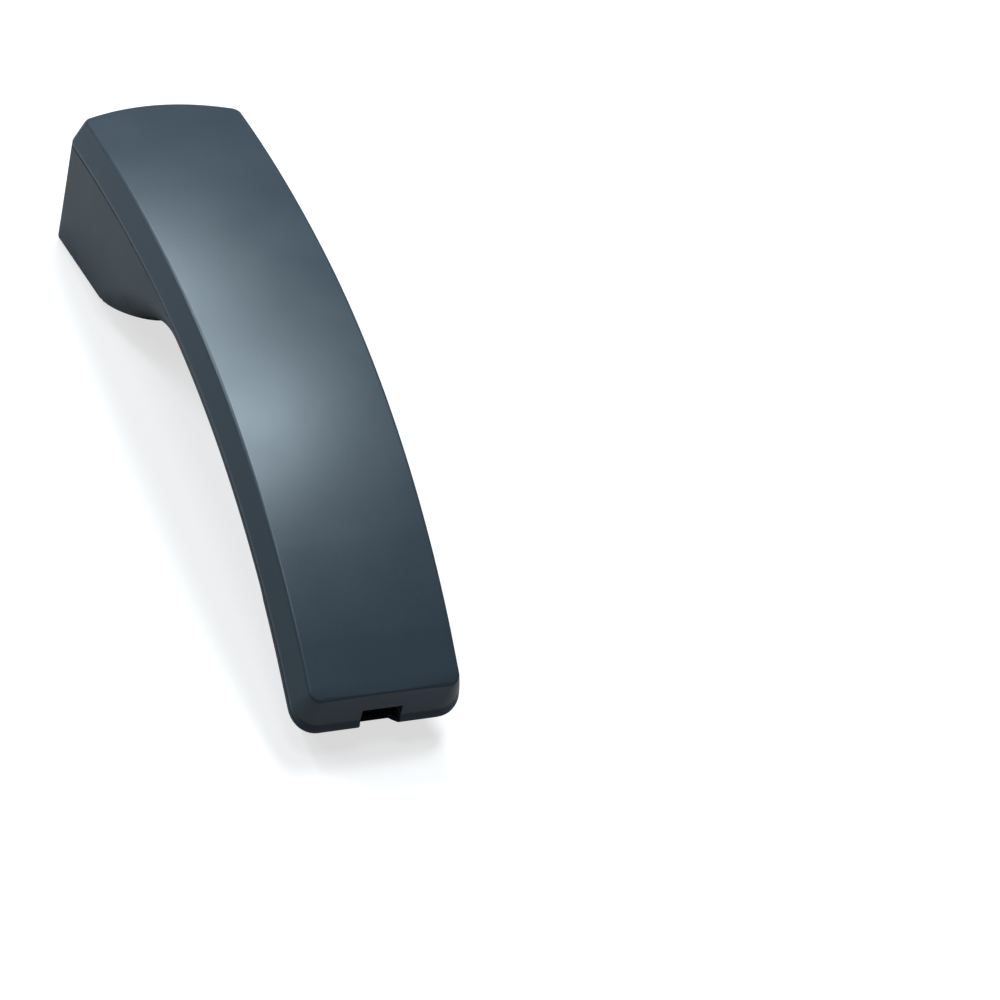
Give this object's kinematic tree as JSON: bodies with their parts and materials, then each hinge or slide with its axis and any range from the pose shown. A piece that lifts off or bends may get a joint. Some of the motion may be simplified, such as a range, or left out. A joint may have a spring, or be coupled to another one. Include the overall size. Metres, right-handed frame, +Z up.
{
  "type": "telephone handset",
  "caption": "Corded desk telephone handset, arched, with a lipped two-shell housing, receiver block, mouthpiece and cord socket, lying face down.",
  "frame": {"origin": "middle of the ground under the handset as it lies face down, at the middle of its length and width", "axes": "+Z up, through the crown; +Y along the length towards the receiver end; +X across the width"},
  "size_m": [0.0516, 0.1966, 0.0482],
  "materials": {
    "crown_plastic": "satin moulded",
    "body_plastic": "satin moulded",
    "acoustic_cloth": "woven",
    "foam": "closed cell",
    "black_plastic": "moulded",
    "diaphragm_film": "pressed film",
    "copper_wire": "enamelled",
    "plated_steel": "zinc plated",
    "magnet": "ground",
    "board": "soldermask",
    "black_rubber": "moulded",
    "capsule_can": "drawn",
    "jack_plastic": "moulded",
    "gold_contact": "plated",
    "ballast_steel": "sawn and bent",
    "wire_insulation": "extruded"
  },
  "bodies": {
    "root": {"back_shell": "crown_plastic", "front_shell": "body_plastic", "acoustic_cloth": "acoustic_cloth", "receiver_gasket": "foam", "receiver_frame": "black_plastic", "receiver_diaphragm": "diaphragm_film", "voice_coil": "copper_wire", "pole_plate": "plated_steel", "receiver_magnet": "magnet", "receiver_yoke": "plated_steel", "terminal_board": "board", "receiver_retainer": "black_plastic", "retainer_screw_1": "plated_steel", "retainer_screw_2": "plated_steel", "retainer_screw_3": "plated_steel", "microphone_felt": "acoustic_cloth", "microphone_boot": "black_rubber", "microphone_capsule": "capsule_can", "jack_housing": "jack_plastic", "jack_contacts": "gold_contact", "ballast_bar": "ballast_steel", "ballast_pad": "foam", "receiver_wires": "wire_insulation", "microphone_wires": "wire_insulation", "ear_side_screw": "plated_steel", "mic_side_screw": "plated_steel", "ear_side_plug": "body_plastic", "mic_side_plug": "body_plastic"}
  },
  "joints": []
}
